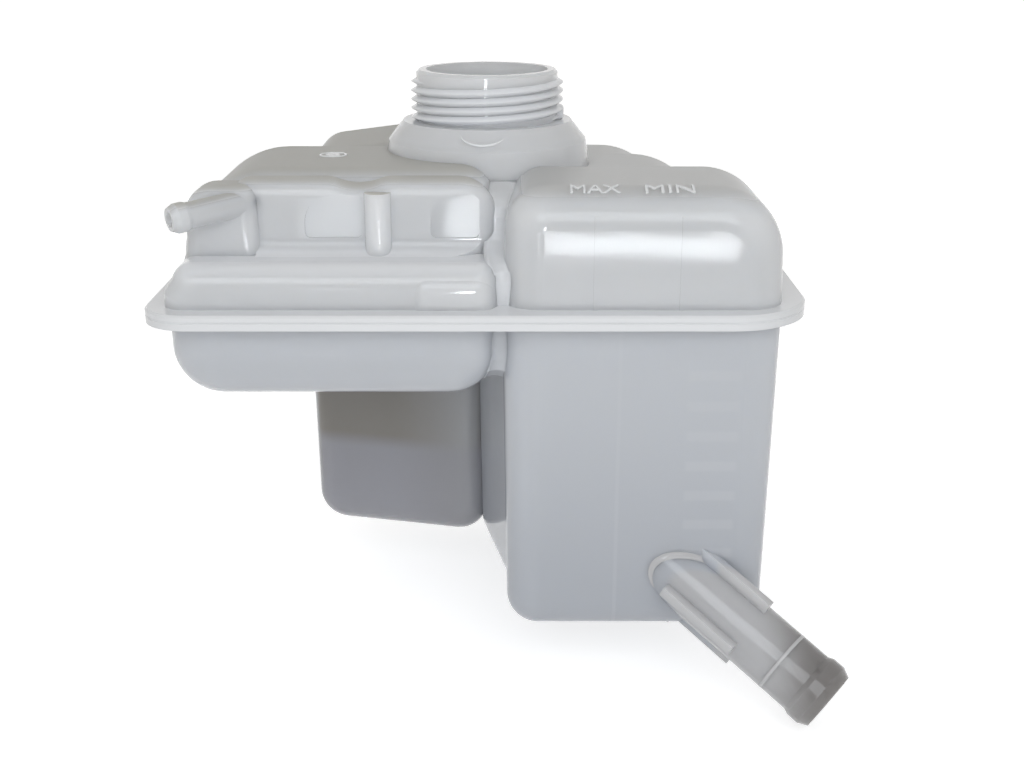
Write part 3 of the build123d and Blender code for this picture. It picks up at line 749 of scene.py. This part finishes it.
inside = np.stack([on_tube - FILLET_BITE * spoke, foot - FILLET_BITE * (spoke + WALL_OUT),
                   on_wall - FILLET_BITE * WALL_OUT], axis=1)
carried_piece("outlet_fillet", np.concatenate([curve, inside], axis=1), False, outlet_plastic)

around = np.linspace(0.0, 2 * np.pi, RING_SIDES, endpoint=False)[:, None, None]
spoke = np.cos(around) * back + np.sin(around) * side
ring_along = RING_AT + RING_HALF * RING_PROFILE_ALONG[None, :, None]
ring_radius = OUTLET_R + RING_RISE * RING_PROFILE_RISE[None, :, None]
carried_piece("outlet_ring", OUTLET_ROOT + OUTLET_AXIS * ring_along + spoke * ring_radius, True,
              outlet_plastic)


# Sprue pip: the small round stub under the deep chamber where a second sprue was broken off
# after moulding; it is of one piece with the lower shell and half sunk in its floor.
PIP_CENTRE = np.array([0.0617, -0.0630, -0.1772])
PIP_HALVES = (0.0009, 0.0009, 0.0018)
PIP_ROWS = 17
PIP_COLUMNS = 32
egg_piece("sprue_pip", PIP_CENTRE, PIP_HALVES, PIP_ROWS, PIP_COLUMNS, bead_plastic)


# Studio: a pale floor just under the tank, one large soft lamp in front, a small tall lamp by the
# camera, a low strip that draws the bright band across the dome, and two small cards that draw the
# lights on the right window and the left tiers, in a white surround.
FLOOR_Z = cad_box[0][2] - 0.003
FLOOR_HALF = 20.0
FLOOR_GREY = (0.85, 0.85, 0.85, 1.0)
FLOOR_ROUGHNESS = 0.9
FLOOR_WHITE = 0.62
SURROUND = 0.46
SURROUND_COLOUR = (1.0, 0.99, 0.975, 1.0)
COOL_LIGHT = (0.92, 0.96, 1.0)
PALE_LIGHT = (0.95, 0.97, 1.0)
# Each lamp: its name, place, target, width, height, power and colour.
LAMPS = (
    ("front_softbox", (0.03, -0.75, 0.36), (0.0, 0.0, -0.06), 0.80, 0.40, 2.5, COOL_LIGHT),
    ("camera_lamp", (-0.011, -0.62, -0.085), (0.0, -0.05, -0.04), 0.040, 0.070, 0.22, COOL_LIGHT),
    ("low_strip", (0.10, -0.625, -0.172), (0.05, -0.075, -0.05), 0.135, 0.0143, 0.075, PALE_LIGHT),
    ("window_card", (-0.0265, -0.62, -0.160), (-0.01, -0.056, -0.04), 0.026, 0.030, 0.022,
     PALE_LIGHT),
    ("left_card", (-0.12, -0.62, -0.160), (-0.05, -0.056, -0.04), 0.042, 0.035, 0.02, PALE_LIGHT))


def white_to_camera(tree, plain_shader, out_socket, strength):
    """Adds white for the camera, for reflections and for what is seen through the plastic,
    and leaves the plain shader alone for all light that falls on the tank."""
    path = tree.nodes.new("ShaderNodeLightPath")
    seen = value_node(tree, "MAXIMUM", path.outputs["Is Camera Ray"], path.outputs["Is Glossy Ray"])
    seen = value_node(tree, "MAXIMUM", seen, path.outputs["Is Transmission Ray"])
    glow = tree.nodes.new("ShaderNodeEmission")
    tree.links.new(value_node(tree, "MULTIPLY", seen, strength), glow.inputs["Strength"])
    both = tree.nodes.new("ShaderNodeAddShader")
    tree.links.new(plain_shader, both.inputs[0])
    tree.links.new(glow.outputs[0], both.inputs[1])
    tree.links.new(both.outputs[0], out_socket)


floor_mesh = bpy.data.meshes.new("floor")
floor_corners = np.array([[-1, -1, 0], [1, -1, 0], [1, 1, 0], [-1, 1, 0]]) * FLOOR_HALF
floor_corners = floor_corners + [0, 0, FLOOR_Z]
floor_mesh.from_pydata(floor_corners.tolist(), [], [[0, 1, 2, 3]])
floor = bpy.data.objects.new("floor", floor_mesh)
bpy.context.scene.collection.objects.link(floor)
floor_mat = bpy.data.materials.new("pale_floor")
floor_mat.use_nodes = True
floor_shader = floor_mat.node_tree.nodes["Principled BSDF"]
floor_shader.inputs["Base Color"].default_value = FLOOR_GREY
floor_shader.inputs["Roughness"].default_value = FLOOR_ROUGHNESS
floor_out = floor_mat.node_tree.nodes["Material Output"].inputs["Surface"]
white_to_camera(floor_mat.node_tree, floor_shader.outputs[0], floor_out, FLOOR_WHITE)
floor_mesh.materials.append(floor_mat)

world = bpy.data.worlds.new("studio")
bpy.context.scene.world = world
world.use_nodes = True
surround = world.node_tree.nodes["Background"]
surround.inputs["Color"].default_value = SURROUND_COLOUR
surround.inputs["Strength"].default_value = SURROUND
world_out = world.node_tree.nodes["World Output"].inputs["Surface"]
white_to_camera(world.node_tree, surround.outputs[0], world_out, 1.0 - SURROUND)


def soft_lamp(name, place, target, width, height, power, colour):
    """An oblong soft lamp aimed from its place at a target point."""
    data = bpy.data.lights.new(name, "AREA")
    data.shape = "RECTANGLE"
    data.size = width
    data.size_y = height
    data.energy = power
    data.color = colour
    lamp = bpy.data.objects.new(name, data)
    lamp.location = place
    lamp.rotation_euler = (Vector(target) - Vector(place)).to_track_quat("-Z", "Y").to_euler()
    bpy.context.scene.collection.objects.link(lamp)


for lamp in LAMPS:
    soft_lamp(*lamp)


# Camera: from the front and a little above, as the tank was photographed. Its focal length was
# found as a number of picture points for a picture of the photograph's width.
CAMERA_PLACE = (0.0086, -0.4902, 0.0511)
CAMERA_DIP = 18.7
SENSOR_WIDTH = 36.0
FOCAL_POINTS = 1400.0
PICTURE_POINTS = 1024.0
camera_data = bpy.data.cameras.new("camera")
camera_data.sensor_fit = "HORIZONTAL"
camera_data.sensor_width = SENSOR_WIDTH
camera_data.lens = SENSOR_WIDTH * FOCAL_POINTS / PICTURE_POINTS
camera = bpy.data.objects.new("camera", camera_data)
camera.location = CAMERA_PLACE
camera.rotation_euler = (math.radians(90.0 - CAMERA_DIP), 0.0, 0.0)
bpy.context.scene.collection.objects.link(camera)
bpy.context.scene.camera = camera

bpy.context.scene.view_settings.view_transform = "Standard"
